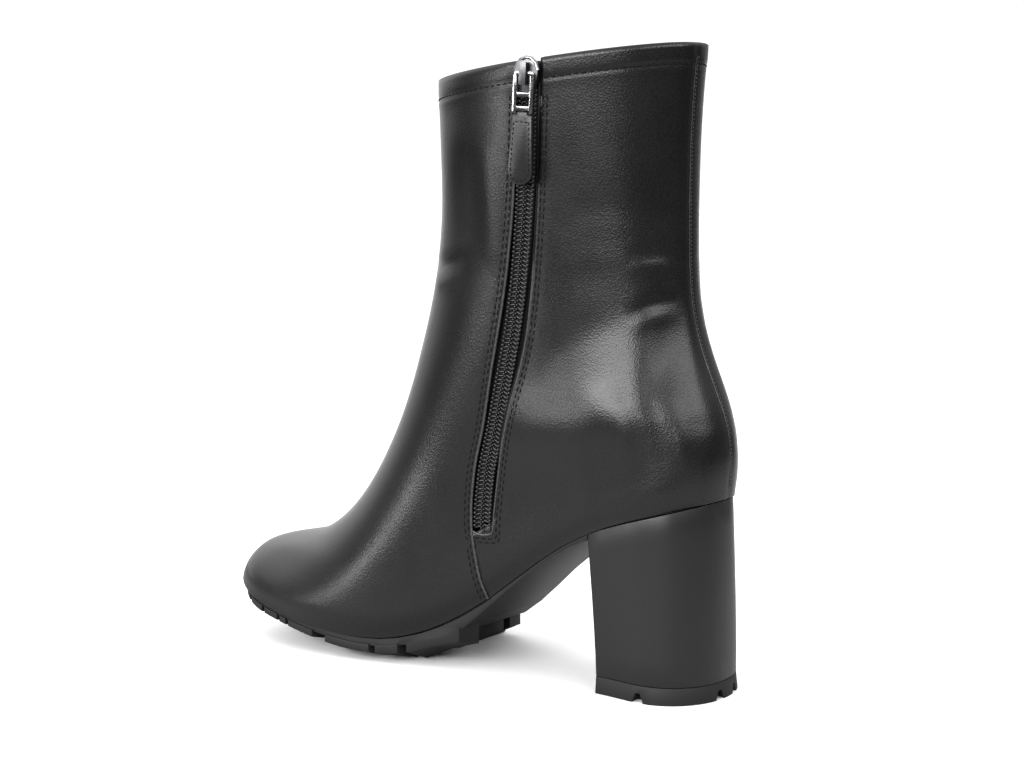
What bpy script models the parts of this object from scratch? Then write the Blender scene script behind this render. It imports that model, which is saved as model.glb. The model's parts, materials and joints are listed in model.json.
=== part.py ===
"""Right bootie with a high block heel, a lugged forepart and a zip along its inner side.

+Y points to the toe, +X to the outer side of the foot and +Z up. The origin lies on the heel's
ground face, and the ground is z = 0. Tables and sizes are in millimetres, and MM turns them into
metres when a mesh is made.
"""

import math

import bmesh
import bpy
import numpy as np
from mathutils import Matrix

MM = 0.001

# Leather wall, the lap of the front panel over the quarters, and the gap between neighbours
WALL = 2.0
PANEL_STEP = 0.8
HEM_STEP = 0.4
HEM_HEIGHT = 8.0
GAP = 0.3

# Overall shape of the last
ROUND = 2.14
TIP_Y = 205.5
TIP_ROUNDING = 29.6
TUCK = 2.2
TUCK_HEIGHT = 9.0
COLLAR_FRONT = (97.0, 230.8)
COLLAR_BACK = (-10.0, 243.3)
LEG_START_Z = 130.0
INSIDE_Y = 20.0

# Columns and rows of the upper's skin
BACK_COLUMNS = 12
FRONT_COLUMNS = 16
ROWS = 26
ROW_CROWDING = 1.75

# Zip, in the slot between the front panel's edge and the inner quarter
SEAM_WIDTH = 1.2
ZIP_BOTTOM_Z = 55.4
TAPE_HALF = 11.0
TAPE_DEPTH = 2.9
TAPE_THICK = 0.8
CHAIN_HALF = 3.7
CHAIN_DEPTH = 0.9
CHAIN_GROOVE = 0.3
TAPE_START = 0.008
TAPE_TOP = 0.985

# Slider, in its own frame: x along the collar, y up the zip, z out of the leather
SLIDER_BELOW_COLLAR = 5.0
PLATE_LOW = 1.15
PLATE_THICK = 1.4
NECK_HALF = 3.6
BRIDGE_HALF = 1.4
BRIDGE_WINDOW = 2.7
BRIDGE_LEG = 1.3
BRIDGE_RISE = 2.0
BRIDGE_TOP = 1.0
SLIDER_BACK_THICK = 1.2
SLIDER_BACK_GAP = 0.8
SLIDER_HALF_HEIGHT = 5.0

# Pull: a frame of polished metal on the bridge, and a leather tab under it
PULL_THICK = 1.3
PULL_HALF = 4.2
PULL_LENGTH = 14.7
RAIL = 1.5
CROSS_BAR = (-7.0, -8.4)
END_BAR = (-12.0, -13.5)
TAB_HALF = 4.2
TAB_END_HALF = 5.2
TAB_NECK_HALF = 2.3
TAB_LENGTH = 24.6
TAB_THICK = 2.0

# Sole, heel and top lift
PLATE_INSET = 0.8
BREAST_Y = 26.1
LUG_EDGE = 0.1
TOE_INSET = 2.2
TOE_START_Y = 178.0
TOE_END_Y = 206.0
LUG_SINK = 0.8
LIFT_HEIGHT = 6.4
HEEL_ROUNDING = 28.0
HEEL_SQUARE = 2.25
HEEL_SHIFT = -0.8
HEEL_WIDEST_Y = -8.0
HEEL_CORNER = 1.0
LIFT_FLARE = 0.6
INSOLE_THICK = 2.0
NOTCH_WIDTH = 2.9
NOTCH_DEPTH = 5.0
NOTCH_HEIGHT = 3.6


class Sections:
    """A short table with named columns. Calling it gives smooth values between its rows."""

    def __init__(self, columns, *rows):
        self.columns = columns
        table = np.array(rows, float)
        self.knots = table[:, 0]
        self.values = table[:, 1:]
        self.bends = self.natural_bends()

    def natural_bends(self):
        """Second derivatives of the natural cubic spline at each row."""
        steps = np.diff(self.knots)
        slopes = np.diff(self.values, axis=0) / steps[:, None]
        count = len(self.knots)
        system = np.eye(count)
        right = np.zeros_like(self.values)
        for i in range(1, count - 1):
            system[i, i - 1 : i + 2] = steps[i - 1], 2 * (steps[i - 1] + steps[i]), steps[i]
            right[i] = 6 * (slopes[i] - slopes[i - 1])
        return np.linalg.solve(system, right)

    def __call__(self, at):
        at = np.clip(np.asarray(at, float), self.knots[0], self.knots[-1])
        i = np.clip(np.searchsorted(self.knots, at) - 1, 0, len(self.knots) - 2)
        step = (self.knots[i + 1] - self.knots[i])[..., None]
        t = (at - self.knots[i])[..., None] / step
        line = (1 - t) * self.values[i] + t * self.values[i + 1]
        low = ((1 - t) ** 3 - (1 - t)) * self.bends[i]
        high = (t**3 - t) * self.bends[i + 1]
        found = line + step**2 / 6 * (low + high)
        return tuple(np.moveaxis(found, -1, 0))


FOOT = Sections(
    ("y", "feather_z", "centre_x", "half_width"),
    (-40, 79.6, -2.0, 27.8),
    (-26, 76.3, -2.2, 27.9),
    (0, 69.4, -1.6, 28.2),
    (24, 61.5, -0.2, 27.2),
    (45, 50.2, 1.5, 26.2),
    (65, 35.2, 2.8, 26.8),
    (85, 21.2, 2.8, 29.6),
    (105, 12.2, 1.9, 33.8),
    (122, 9.6, 0.7, 36.8),
    (140, 10.5, -0.7, 37.3),
    (160, 12.9, -2.6, 35.4),
    (180, 17.3, -4.6, 31.4),
    (200, 23.2, -6.3, 27.3),
    (215, 28.0, -7.2, 24.9),
)
RIDGE_COLUMNS = ("row", "y", "z", "rounding")
RIDGE_ROWS = (
    (230.2, 17.7, 24.0),
    (217.3, 36.1, 25.8),
    (203.2, 44.6, 28.6),
    (180.5, 43.0, 33.0),
    (162.3, 47.3, 36.6),
    (144.8, 61.9, 39.1),
    (130.8, 83.9, 40.5),
    (120.7, 106.8, 41.7),
    (113.6, 129.2, 43.8),
    (108.0, 150.6, 46.8),
    (104.2, 180.3, 50.7),
    (104.6, 210.0, 53.6),
    (104.4, 245.1, 54.5),
)
RIDGE = Sections(RIDGE_COLUMNS, *[(i, *row) for i, row in enumerate(RIDGE_ROWS)])
RIDGE_LINE = np.stack(RIDGE(np.linspace(0, len(RIDGE_ROWS) - 1, 160)), axis=1)
LEG = Sections(
    ("z", "back_y", "rounding", "half_width"),
    (60, -18.9, 28.6, 28.4),
    (76, -20.4, 30.6, 28.6),
    (90, -21.2, 33.6, 29.5),
    (106, -18.4, 38.6, 30.3),
    (125, -10.7, 46.6, 30.8),
    (145, -5.2, 53.5, 31.4),
    (165, -3.7, 58.6, 32.3),
    (190, -3.5, 62.7, 34.1),
    (215, -4.0, 64.9, 35.9),
    (240, -5.8, 65.0, 36.7),
)
PANEL_EDGE = Sections(
    ("z", "y"),
    (20, 69.6),
    (31, 72.2),
    (43, 75.2),
    (58, 77.4),
    (79, 76.1),
    (100, 70.8),
    (120, 66.4),
    (152, 59.5),
    (183, 54.6),
    (235, 50.2),
)
SLOT = Sections(
    ("z", "width"),
    (40, 8.4),
    (55, 8.6),
    (69, 9.8),
    (90, 10.6),
    (106, 11.2),
    (130, 12.9),
    (146, 12.2),
    (165, 10.8),
    (185, 9.8),
    (210, 9.2),
    (228, 9.0),
    (245, 9.0),
)
PLATE = Sections(
    ("y", "inner_thickness", "outer_thickness"),
    (20, 1.5, 1.5),
    (50, 1.5, 1.5),
    (64, 1.7, 1.6),
    (74, 3.2, 3.2),
    (85, 5.3, 5.3),
    (93, 5.0, 6.4),
    (100, 3.8, 6.2),
    (108, 3.1, 4.8),
    (122, 2.9, 3.2),
    (142, 2.4, 2.4),
    (163, 1.6, 1.6),
    (190, 1.4, 1.4),
    (215, 1.4, 1.4),
)
TREAD = Sections(
    ("y", "inner_edge_z", "ground_z"),
    (84, 11.3, 8.0),
    (92, 9.5, 6.0),
    (98, 7.8, 3.8),
    (105, 5.6, 0.0),
    (112, 4.4, -0.4),
    (120, 3.9, -0.5),
    (132, 4.3, 0.0),
    (142, 5.7, 1.8),
    (155, 8.1, 4.6),
    (163, 9.9, 6.6),
    (180, 13.8, 10.6),
    (200, 19.8, 17.0),
    (208, 22.4, 20.0),
)
INNER_LUGS = (
    ("rear_y", "front_y", "depth"),
    (84.5, 106.2, 14.0),
    (110.0, 119.4, 14.0),
    (122.2, 142.8, 14.0),
    (149.4, 162.4, 14.0),
    (164.0, 167.4, 14.0),
    (169.0, 176.6, 14.0),
    (178.2, 187.0, 14.0),
    (188.8, 197.0, 12.0),
)
OUTER_LUGS = (
    ("rear_y", "front_y", "depth"),
    (95.6, 99.2, 8.0),
    (104.0, 119.4, 34.0),
    (122.2, 142.8, 14.0),
    (149.4, 162.4, 14.0),
    (164.0, 167.4, 14.0),
    (169.0, 176.6, 14.0),
    (178.2, 187.0, 14.0),
    (188.8, 197.0, 12.0),
)
CENTRE_LUGS = (
    ("rear_y", "front_y", "half_width"),
    (124.0, 132.0, 16.0),
    (139.0, 146.0, 15.0),
    (153.0, 160.0, 13.0),
    (167.0, 174.0, 10.0),
)
HEEL = Sections(
    ("height_share", "back_y", "front_y", "back_half", "breast_half"),
    (0.0, -21.0, 22.7, 27.2, 24.4),
    (0.15, -21.0, 23.0, 26.9, 24.5),
    (0.35, -20.8, 23.6, 26.6, 24.8),
    (0.6, -20.2, 24.4, 26.6, 25.3),
    (0.85, -19.4, 25.3, 27.0, 25.9),
    (1.0, -18.8, 25.7, 27.4, 26.2),
)
LIFT_NOTCHES = (("angle_deg", "centre_y"), (180, 2.4), (0, 2.4), (245, -8.0), (295, -8.0))


def ease(t):
    """0 to 1 with a soft start and end."""
    t = np.clip(t, 0, 1)
    return t * t * (3 - 2 * t)


def collar_z(y):
    (front_y, front_z), (back_y, back_z) = COLLAR_FRONT, COLLAR_BACK
    return front_z + (back_z - front_z) * (front_y - y) / (front_y - back_y)


def ridge_distance(y, z):
    """How far a point lies inside the front ridge, and the rounding of the ridge there."""
    start = RIDGE_LINE[:-1, :2]
    run = RIDGE_LINE[1:, :2] - start
    point = np.stack([y, z], axis=-1)[:, None, :]
    share = np.clip(((point - start) * run).sum(-1) / (run * run).sum(-1), 0, 1)
    away = point - (start + share[..., None] * run)
    distance = np.sqrt((away * away).sum(-1))
    nearest = distance.argmin(1)
    every = np.arange(len(nearest))
    share = share[every, nearest]
    rounding = (1 - share) * RIDGE_LINE[nearest, 2] + share * RIDGE_LINE[nearest + 1, 2]
    away = away[every, nearest]
    side = run[nearest, 0] * away[:, 1] - run[nearest, 1] * away[:, 0]
    return distance[every, nearest] * np.sign(side), rounding


def girth(y, z):
    """Centre line, flank half width and fullness of the last. Fullness is 0 on its side profile."""
    feather, foot_x, foot_half = FOOT(y)
    back_y, back_rounding, leg_half = LEG(z)
    up = ease((z - feather - 4) / np.maximum(LEG_START_Z - feather, 60))
    half = foot_half * (1 - up) + leg_half * up
    half = half + TUCK * ease((z - feather) / TUCK_HEIGHT) * (1 - up)
    inside, front_rounding = ridge_distance(y, z)
    front = np.clip(1 - inside / front_rounding, 0, None)
    back = np.clip(1 - (y - back_y) / back_rounding, 0, None)
    tip = np.clip(1 - (TIP_Y - y) / TIP_ROUNDING, 0, None)
    return foot_x * (1 - up), half, 1 - front**ROUND - back**ROUND - tip**ROUND


def side_x(y, z, side):
    """X of the upper's skin: side is -1 on the inner side of the foot and 1 on the outer side."""
    centre, half, full = girth(y, z)
    return centre + side * half * np.clip(full, 0, 1) ** (1 / ROUND)


def level_z(share, y):
    """Height of a ring: share 0 is the feather line and 1 the collar."""
    return (1 - share) * FOOT(y)[0] + share * collar_z(y)


def profile_end(share, outside_y):
    """Y where a ring meets the side profile, between INSIDE_Y and a point outside the last."""
    ys = np.linspace(INSIDE_Y, outside_y, 300)
    outside = girth(ys, level_z(share, ys))[2] <= 0
    first = int(np.argmax(outside))
    low, high = ys[first - 1], ys[first]
    for _ in range(30):
        middle = np.array([(low + high) / 2])
        if girth(middle, level_z(share, middle))[2][0] > 0:
            low = middle[0]
        else:
            high = middle[0]
    return low


def panel_edge_y(share):
    """Y of the front panel's edge on a ring."""
    y = 60.0
    for _ in range(20):
        y = float(PANEL_EDGE(level_z(share, y))[0])
    return y


def slot_width(share):
    """Width of the zip's slot: it opens a little round the ankle."""
    return float(SLOT(level_z(share, panel_edge_y(share)))[0])


def share_at(y, z):
    feather = float(FOOT(y)[0])
    return (z - feather) / (collar_z(y) - feather)


def row_shares():
    """Rings from the feather line to the collar, with one at the zip's lower end and two at the hem."""
    hem = 1 - HEM_HEIGHT / (collar_z(INSIDE_Y) - FOOT(INSIDE_Y)[0])
    shares = np.linspace(0, 1, ROWS) ** ROW_CROWDING * (hem - 0.006)
    zip_share = share_at(float(PANEL_EDGE(ZIP_BOTTOM_Z)[0]), ZIP_BOTTOM_Z)
    zip_row = int(np.argmin(np.abs(shares - zip_share)))
    shares[zip_row] = zip_share
    return np.append(shares, [hem, 1.0]), zip_row


def half_ring(share, side, strip):
    """Points of one side of a ring from heel to toe, crowded at both ends and at the seam."""
    back_y = profile_end(share, -45.0)
    front_y = profile_end(share, 240.0)
    edge = panel_edge_y(share)
    back = 1 - np.cos(np.pi / 2 * np.linspace(0, 1, BACK_COLUMNS + 1))
    front = 1 - np.cos(np.pi / 2 * np.linspace(1, 0, FRONT_COLUMNS + 1))
    y = np.concatenate([back_y + (edge - strip - back_y) * back, front_y - (front_y - edge) * front])
    z = level_z(share, y)
    x = side_x(y, z, side)
    x[[0, -1]] = girth(y[[0, -1]], z[[0, -1]])[0]
    return np.stack([x, y, z], axis=1)


def upper_rings(shares, zip_row):
    """Rings of the upper's outer skin, with the front panel and the hem raised."""
    rings = []
    for row, share in enumerate(shares):
        inner = half_ring(share, -1, slot_width(share) if row >= zip_row else SEAM_WIDTH)
        outer = half_ring(share, 1, SEAM_WIDTH)
        rings.append(np.concatenate([inner, outer[-2:0:-1]]))
    rings = np.stack(rings)
    around = np.roll(rings, -1, axis=1) - np.roll(rings, 1, axis=1)
    normals = np.cross(np.gradient(rings, axis=0), around)
    normals /= np.linalg.norm(normals, axis=2, keepdims=True)
    lift = PANEL_STEP * (on_front_panel(rings.shape[1])[None, :] - 0.5)
    lift = lift + HEM_STEP * (np.arange(len(shares)) >= len(shares) - 2)[:, None]
    return rings + normals * lift[..., None]


def on_front_panel(columns):
    """True for the columns of the front panel, on both sides of the ridge."""
    column = np.arange(columns)
    return np.minimum(column, columns - column) > BACK_COLUMNS


def medial_frame(y, z):
    """Point on the inner side of the leg, and the outward normal there."""
    step = 0.5
    ys = np.array([y, y + step, y - step, y, y])
    zs = np.array([z, z, z, z + step, z - step])
    x = side_x(ys, zs, -1)
    normal = np.array([-1, (x[1] - x[2]) / (2 * step), (x[3] - x[4]) / (2 * step)])
    return np.array([x[0], y, z]), normal / np.linalg.norm(normal)


def sole_half(y, side, grow):
    """Plan of the feather line on one side, grown outwards. Stations run either way."""
    x = side_x(y, FOOT(y)[0], side)
    plan = np.stack([x, y], axis=1)
    along = np.gradient(plan, axis=0) * np.sign(y[-1] - y[0])
    outwards = np.stack([along[:, 1], -along[:, 0]], axis=1) * side
    return plan + grow * outwards / np.linalg.norm(outwards, axis=1, keepdims=True)


def lug_edge(y):
    """How far the lugs stand out from the feather line: a little, and tucked in at the toe."""
    tuck = ease((y - TOE_START_Y) / (TOE_END_Y - TOE_START_Y))
    return (LUG_EDGE - TOE_INSET * tuck)[:, None]


def foot_stations(start_y, end_y, count):
    """Stations from the toe back, crowded where the toe is round."""
    return end_y - (end_y - start_y) * (1 - np.cos(np.pi / 2 * np.linspace(0, 1, count)))


def closed_plan(inner, outer):
    """One closed outline from two sides that start at the same point."""
    return np.concatenate([inner, outer[:0:-1]])


def collection(name):
    made = bpy.data.collections.new(name)
    bpy.context.scene.collection.children.link(made)
    return made


def material(name, colour, roughness, metallic=0.0):
    made = bpy.data.materials.new(name)
    made.use_nodes = True
    shader = made.node_tree.nodes["Principled BSDF"]
    shader.inputs["Base Color"].default_value = (*colour, 1)
    shader.inputs["Roughness"].default_value = roughness
    shader.inputs["Metallic"].default_value = metallic
    return made


def add_object(name, mesh, group, look=None):
    made = bpy.data.objects.new(name, mesh)
    group.objects.link(made)
    if look:
        mesh.materials.append(look)
    return made


def mesh_from(bm, name, closed=True):
    """Blender mesh from a bmesh in millimetres."""
    bmesh.ops.remove_doubles(bm, verts=bm.verts, dist=1e-4)
    if closed:
        bmesh.ops.recalc_face_normals(bm, faces=bm.faces)
    bmesh.ops.scale(bm, vec=(MM, MM, MM), verts=bm.verts)
    mesh = bpy.data.meshes.new(name)
    bm.to_mesh(mesh)
    bm.free()
    mesh.shade_smooth()
    mesh.set_sharp_from_angle(angle=math.radians(35))
    return mesh


def skin(bm, rings, left_open=()):
    """Quads between neighbouring closed rings. left_open holds (row, column) faces to skip."""
    verts = [[bm.verts.new(point) for point in ring] for ring in rings]
    columns = len(verts[0])
    for row, (low, high) in enumerate(zip(verts, verts[1:])):
        for column in range(columns):
            after = (column + 1) % columns
            if (row, column) not in left_open:
                bm.faces.new((low[column], high[column], high[after], low[after]))
    return verts


def close_across(bm, ring):
    """Closes a ring of vertices with strips between its two sides."""
    count = len(ring)
    for k in range((count + 1) // 2):
        corners = (ring[k], ring[k + 1], ring[count - k - 1], ring[(count - k) % count])
        corners = list(dict.fromkeys(corners))
        if len(corners) > 2:
            bm.faces.new(corners)
        if k + 1 >= count - k - 2:
            break


def loft(rings, name):
    """Closed solid through rings of points, ended by strips across the first and last ring."""
    bm = bmesh.new()
    verts = skin(bm, rings)
    close_across(bm, verts[0])
    close_across(bm, verts[-1])
    return mesh_from(bm, name)


def bar(sections, name):
    """Closed solid through sections of points, ended by flat faces."""
    bm = bmesh.new()
    verts = skin(bm, sections)
    bm.faces.new(verts[0])
    bm.faces.new(verts[-1])
    return mesh_from(bm, name)


def boolean(target, tool, operation):
    change = target.modifiers.new(tool.name, "BOOLEAN")
    change.operation = operation
    change.object = tool


def cutter(name, mesh, group):
    made = add_object(name, mesh, group)
    made.hide_render = True
    made.display_type = "WIRE"
    return made


def flat_outline(name, outlines, thickness, group):
    """Flat plate from closed outlines in x and y: the first is the edge and the others are windows."""
    curve = bpy.data.curves.new(name, "CURVE")
    curve.dimensions = "2D"
    curve.fill_mode = "BOTH"
    curve.extrude = thickness / 2 * MM
    for points in outlines:
        spline = curve.splines.new("POLY")
        spline.points.add(len(points) - 1)
        for target, (x, y) in zip(spline.points, points):
            target.co = (x * MM, y * MM, 0, 1)
        spline.use_cyclic_u = True
    drawn = add_object(name + "_outline", curve, group)
    graph = bpy.context.evaluated_depsgraph_get()
    mesh = bpy.data.meshes.new_from_object(drawn.evaluated_get(graph))
    bpy.data.objects.remove(drawn)
    bm = bmesh.new()
    bm.from_mesh(mesh)
    bmesh.ops.remove_doubles(bm, verts=bm.verts, dist=1e-6)
    bm.to_mesh(mesh)
    bm.free()
    mesh.name = name
    return mesh


def rounded_box(half_x, low_y, high_y, corner):
    """Outline of a box with quarter-round corners."""
    points = []
    for x, y, start in (
        (half_x - corner, high_y - corner, 0),
        (corner - half_x, high_y - corner, 90),
        (corner - half_x, low_y + corner, 180),
        (half_x - corner, low_y + corner, 270),
    ):
        for turn in np.radians(start + np.array([0, 30, 60, 90])):
            points.append((x + corner * math.cos(turn), y + corner * math.sin(turn)))
    return points


def box_mesh(name, half_x, low, high):
    """Box around the y and z ranges given by low and high, in millimetres."""
    bm = bmesh.new()
    bmesh.ops.create_cube(bm, size=1)
    size = (2 * half_x, high[0] - low[0], high[1] - low[1])
    middle = (0, (high[0] + low[0]) / 2, (high[1] + low[1]) / 2)
    bmesh.ops.scale(bm, vec=size, verts=bm.verts)
    bmesh.ops.translate(bm, vec=middle, verts=bm.verts)
    return mesh_from(bm, name)


def make_upper(group, shares, zip_row):
    bm = bmesh.new()
    slot = {(row, BACK_COLUMNS) for row in range(zip_row, len(shares))}
    skin(bm, upper_rings(shares, zip_row), slot)
    mesh = mesh_from(bm, "upper", closed=False)
    upper = add_object("upper", mesh, group, material("black_leather", (0.03, 0.03, 0.032), 0.42))
    weights = upper.vertex_groups.new(name="wall_thickness")
    columns = 2 * (BACK_COLUMNS + FRONT_COLUMNS + 1)
    front = on_front_panel(columns)
    for vertex in mesh.vertices:
        thick = WALL + PANEL_STEP * bool(front[vertex.index % columns])
        weights.add([vertex.index], thick / (WALL + PANEL_STEP), "REPLACE")
    wall = upper.modifiers.new("wall", "SOLIDIFY")
    wall.thickness = (WALL + PANEL_STEP) * MM
    wall.offset = -1
    wall.vertex_group = weights.name
    return upper


def make_zip_tape(group, shares, zip_row):
    """Tape behind the leather, with the two coil rows standing up into the slot."""
    profile = (
        (-TAPE_HALF, TAPE_DEPTH),
        (-CHAIN_HALF, TAPE_DEPTH),
        (-CHAIN_HALF, CHAIN_DEPTH + 0.4),
        (-CHAIN_HALF + 0.5, CHAIN_DEPTH),
        (-CHAIN_GROOVE, CHAIN_DEPTH),
        (0, CHAIN_DEPTH + 0.4),
        (CHAIN_GROOVE, CHAIN_DEPTH),
        (CHAIN_HALF - 0.5, CHAIN_DEPTH),
        (CHAIN_HALF, CHAIN_DEPTH + 0.4),
        (CHAIN_HALF, TAPE_DEPTH),
        (TAPE_HALF, TAPE_DEPTH),
        (TAPE_HALF, TAPE_DEPTH + TAPE_THICK),
        (-TAPE_HALF, TAPE_DEPTH + TAPE_THICK),
    )
    sections = []
    for share in [shares[zip_row] + TAPE_START, *shares[zip_row + 1 : -3], TAPE_TOP]:
        middle = panel_edge_y(share) - slot_width(share) / 2
        section = []
        for across, depth in profile:
            y = middle + across
            point, normal = medial_frame(y, float(level_z(share, y)))
            section.append(point - depth * normal)
        sections.append(section)
    look = material("zip_black", (0.02, 0.02, 0.022), 0.45)
    return add_object("zip_tape", bar(sections, "zip_tape"), group, look)


def slider_matrix():
    """Frame of the slider: its origin is on the leather under the pull's axis."""
    share = 1 - SLIDER_BELOW_COLLAR / (collar_z(INSIDE_Y) - FOOT(INSIDE_Y)[0])
    middle = panel_edge_y(share) - slot_width(share) / 2
    point, normal = medial_frame(middle, float(level_z(share, middle)))
    lower_share = share - 0.1
    lower_y = panel_edge_y(lower_share) - slot_width(lower_share) / 2
    lower, _ = medial_frame(lower_y, float(level_z(lower_share, lower_y)))
    up = point - lower
    up -= normal * up.dot(normal)
    up /= np.linalg.norm(up)
    across = np.cross(up, normal)
    turn = Matrix(np.stack([across, up, normal], axis=1).tolist()).to_4x4()
    return Matrix.Translation(point * MM) @ turn


def axis_height():
    """Height of the pull's axis over the leather."""
    return PLATE_LOW + PLATE_THICK + BRIDGE_RISE / 2


def make_slider(group, cutters):
    """Front plate, neck, back plate, post and a bridge with its window, joined into one casting."""
    top = SLIDER_HALF_HEIGHT - GAP
    plate_high = PLATE_LOW + PLATE_THICK
    right = ((3.4, -6.6), (4.4, -2.0), (5.0, 2.4), (2.8, top))
    outline = [*right, *((-x, y) for x, y in reversed(right))]
    plate = flat_outline("slider_plate", [outline], PLATE_THICK, cutters)
    plate.transform(Matrix.Translation((0, 0, (PLATE_LOW + PLATE_THICK / 2) * MM)))
    slider = add_object("zip_slider", plate, group, material("chrome", (0.75, 0.75, 0.76), 0.12, 1.0))
    sink = 0.4
    window_top = plate_high + BRIDGE_RISE
    leg = BRIDGE_WINDOW + BRIDGE_LEG
    post_low = -TAPE_DEPTH - TAPE_THICK - SLIDER_BACK_GAP - SLIDER_BACK_THICK
    foot = plate_high - sink
    roof = window_top + sink
    blocks = {
        "slider_neck": (NECK_HALF, (-6.0, GAP - CHAIN_DEPTH), (top, PLATE_LOW + sink)),
        "slider_post": (2.0, (3.2, post_low + sink), (top, PLATE_LOW + sink)),
        "slider_back": (4.6, (-6.0, post_low), (top, post_low + SLIDER_BACK_THICK)),
        "bridge_upper_leg": (BRIDGE_HALF, (BRIDGE_WINDOW, foot), (leg, roof)),
        "bridge_lower_leg": (BRIDGE_HALF, (-leg, foot), (-BRIDGE_WINDOW, roof)),
        "bridge_strap": (BRIDGE_HALF, (-leg, window_top), (leg, window_top + BRIDGE_TOP)),
    }
    for name, (half_x, low, high) in blocks.items():
        block = cutter(name, box_mesh(name, half_x, low, high), cutters)
        block.matrix_world = slider_matrix()
        boolean(slider, block, "UNION")
    slider.matrix_world = slider_matrix()
    return slider


def make_pull(group, cutters):
    """Frame and tab, hung from an empty on the axis under the slider's bridge."""
    axis = bpy.data.objects.new("pull_axis", None)
    group.objects.link(axis)
    axis.matrix_world = slider_matrix() @ Matrix.Translation((0, 0, axis_height() * MM))
    half_bar = PULL_THICK / 2
    inner = PULL_HALF - RAIL
    windows = (
        rounded_box(inner, CROSS_BAR[0], -half_bar, 0.5),
        rounded_box(inner, END_BAR[0], CROSS_BAR[1], 0.4),
    )
    below = -PULL_LENGTH - 1
    gap = [(-inner, below), (inner, below), (inner, END_BAR[1]), (-inner, END_BAR[1])]
    edge = rounded_box(PULL_HALF, -PULL_LENGTH, half_bar, 1.2)
    gap_mesh = flat_outline("pull_foot_gap", [gap], 3 * PULL_THICK, cutters)
    foot = cutter("pull_foot_gap", gap_mesh, cutters)
    frame_mesh = flat_outline("pull_frame", [edge, *windows], PULL_THICK, cutters)
    polish = material("polished_pull", (0.75, 0.75, 0.76), 0.1, 1.0)
    frame = add_object("pull_frame", frame_mesh, group, polish)
    boolean(frame, foot, "DIFFERENCE")
    shoulder = -PULL_LENGTH - GAP
    end = shoulder - TAB_LENGTH
    bow = []
    for turn in np.radians(range(0, -181, -15)):
        bow.append((TAB_END_HALF * math.cos(turn), end + TAB_HALF * (1 + 1.25 * math.sin(turn))))
    neck = [
        (-TAB_HALF, shoulder),
        (-TAB_NECK_HALF, shoulder),
        (-TAB_NECK_HALF, END_BAR[1] - GAP),
        (TAB_NECK_HALF, END_BAR[1] - GAP),
        (TAB_NECK_HALF, shoulder),
        (TAB_HALF, shoulder),
    ]
    tab_mesh = flat_outline("pull_tab", [bow + neck], TAB_THICK, cutters)
    tab = add_object("pull_tab", tab_mesh, group, material("tab_leather", (0.03, 0.03, 0.032), 0.45))
    bpy.context.view_layer.update()
    for piece in (frame, foot, tab):
        piece.parent = axis


def make_insole(group):
    """Board inside the upper, from the heel seat to the toe."""
    margin = WALL + PANEL_STEP + GAP
    heel_y = profile_end(0, -45.0)
    tip_y = profile_end(0, 240.0)
    y = (tip_y + heel_y) / 2 + (tip_y - heel_y) / 2 * np.cos(np.linspace(0, np.pi, 33))
    plan = np.concatenate([sole_half(y, -1, 0), sole_half(y, 1, 0)[-2:0:-1]])
    along = np.roll(plan, -1, axis=0) - np.roll(plan, 1, axis=0)
    inwards = np.stack([-along[:, 1], along[:, 0]], axis=1)
    plan = plan + margin * inwards / np.linalg.norm(inwards, axis=1, keepdims=True)
    floor = FOOT(plan[:, 1])[0]
    rings = [np.column_stack([plan, floor + lift]) for lift in (0, INSOLE_THICK)]
    board = material("insole_board", (0.12, 0.1, 0.085), 0.8)
    return add_object("insole", loft(rings, "insole"), group, board)


def sole_top(y):
    return FOOT(y)[0] - GAP


def plate_low(x, y):
    """Underside of the sole's plate, between its thickness at the inner and at the outer edge."""
    _, centre, half = FOOT(y)
    inner, outer = PLATE(y)
    share = np.clip((x - centre) / half / 2 + 0.5, 0, 1)
    return sole_top(y) - inner - (outer - inner) * share


def lug_floor(y, raised):
    """Underside of the lugs: flat on the ground under the ball, or raised along the inner edge."""
    inner_edge, ground = TREAD(y)
    return inner_edge if raised else np.maximum(ground, 0)


def lug(name, edge_plan, inner_plan, raised, group):
    """Block from inside the plate down to the tread, between an edge and a line further in."""
    sections = []
    for edge, inner in zip(edge_plan, inner_plan):
        section = []
        for x, y in (edge, inner):
            section.append((x, y, plate_low(x, y) + LUG_SINK))
        section.append((*inner, lug_floor(inner[1], False)))
        section.append((*edge, lug_floor(edge[1], raised)))
        sections.append(section)
    return cutter(name, bar(sections, name), group)


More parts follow.
